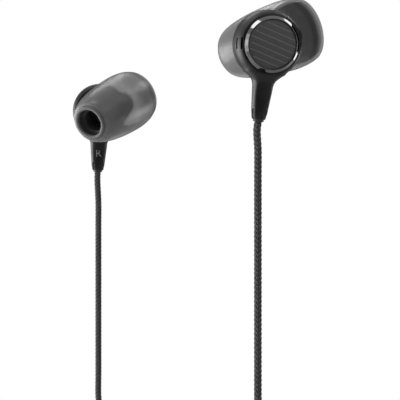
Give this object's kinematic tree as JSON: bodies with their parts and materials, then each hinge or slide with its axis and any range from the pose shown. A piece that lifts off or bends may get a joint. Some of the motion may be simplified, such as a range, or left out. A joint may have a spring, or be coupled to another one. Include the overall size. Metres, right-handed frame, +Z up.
{
  "type": "wired in-ear earphones",
  "caption": "Black wired in-ear earphones with angled silicone tips, bright cap rings, braided leads joined at a splitter and a 3.5 mm plug, the spare cord tied in a hank.",
  "frame": {"origin": "the middle of the left tip's grip on its nozzle, where the left ear holds the part", "axes": "+Z up, along the hanging leads; +Y away from the viewer, from the left bud to the right bud's side; +X to the viewer's right"},
  "size_m": [0.0527, 0.0624, 0.1417],
  "materials": {
    "silicone": "translucent satin",
    "housing_black": "satin",
    "polished_black": "polished",
    "cap_grey": "satin",
    "steel": "satin",
    "driver_plastic": "satin",
    "magnet_metal": "polished",
    "copper_winding": "satin",
    "diaphragm_film": "glossy",
    "felt": "matte",
    "soft_black": "matte",
    "braid": "matte",
    "strap": "matte",
    "plug_metal": "polished",
    "insulator": "glossy"
  },
  "bodies": {
    "earphone_set": {"left_front_housing": "housing_black", "left_rear_housing": "housing_black", "left_bezel_ring": "polished_black", "left_cap_disc": "cap_grey", "left_nozzle_mesh": "steel", "left_driver_frame": "driver_plastic", "left_magnet_cup": "steel", "left_magnet": "magnet_metal", "left_top_plate": "steel", "left_damping_felt": "felt", "left_cord_bush": "soft_black", "right_front_housing": "housing_black", "right_rear_housing": "housing_black", "right_bezel_ring": "polished_black", "right_cap_disc": "cap_grey", "right_nozzle_mesh": "steel", "right_driver_frame": "driver_plastic", "right_magnet_cup": "steel", "right_magnet": "magnet_metal", "right_top_plate": "steel", "right_damping_felt": "felt", "right_cord_bush": "soft_black", "lead_left": "braid", "hank_left": "braid", "tail_left": "braid", "lead_right": "braid", "hank_right": "braid", "tail_right": "braid", "trunk_link": "braid", "trunk_hank": "braid", "trunk_tail": "braid", "splitter": "housing_black", "cord_tie": "strap", "plug_boot": "soft_black", "plug_barrel": "housing_black", "plug_sleeve": "plug_metal", "plug_ring": "plug_metal", "plug_tip": "plug_metal", "plug_insulators": "insulator"},
    "left_tip": {"left_ear_tip": "silicone"},
    "right_tip": {"right_ear_tip": "silicone"},
    "left_diaphragm_unit": {"left_diaphragm": "diaphragm_film", "left_voice_coil": "copper_winding"},
    "right_diaphragm_unit": {"right_diaphragm": "diaphragm_film", "right_voice_coil": "copper_winding"}
  },
  "joints": [
    {"name": "left_tip_pull", "type": "slide", "parent": "earphone_set", "child": "left_tip", "axis": [-0.7439, 0.6463, -0.1697], "range_m": [0, 0.016]},
    {"name": "right_tip_pull", "type": "slide", "parent": "earphone_set", "child": "right_tip", "axis": [-0.4861, -0.7841, -0.386], "range_m": [0, 0.016]},
    {"name": "left_diaphragm_travel", "type": "slide", "parent": "earphone_set", "child": "left_diaphragm_unit", "axis": [0.2228, -0.9649, -0.1392], "range_m": [-0.00015, 0.00015]},
    {"name": "right_diaphragm_travel", "type": "slide", "parent": "earphone_set", "child": "right_diaphragm_unit", "axis": [-0.1022, 0.9894, 0.1028], "range_m": [-0.00015, 0.00015]}
  ]
}
